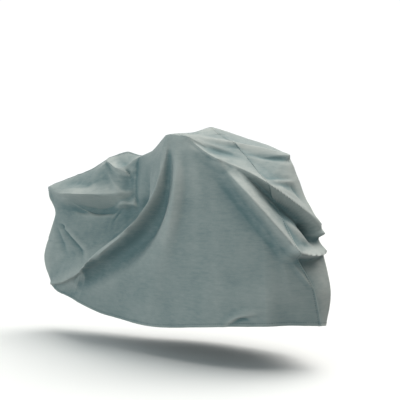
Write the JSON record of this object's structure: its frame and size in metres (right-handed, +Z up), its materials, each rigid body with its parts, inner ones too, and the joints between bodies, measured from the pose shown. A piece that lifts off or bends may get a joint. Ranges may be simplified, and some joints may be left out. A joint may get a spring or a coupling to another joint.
{
  "type": "bicycle cover",
  "caption": "Fitted cloth bicycle cover, draped over saddle, rear rack, handlebar grips and front basket, open along its lower hem.",
  "frame": {"origin": "the rest point under the cover's top, on the bicycle's handlebar at the middle of its stem", "axes": "+X to the bicycle's front, +Y to its left, +Z up"},
  "size_m": [1.8257, 0.6461, 0.9717],
  "materials": {
    "right_cloth": "matt non-woven cloth with a faint sheen",
    "left_cloth": "matt non-woven cloth with a faint sheen"
  },
  "bodies": {
    "root": {"right_panel": "right_cloth", "left_panel": "left_cloth"}
  },
  "joints": []
}
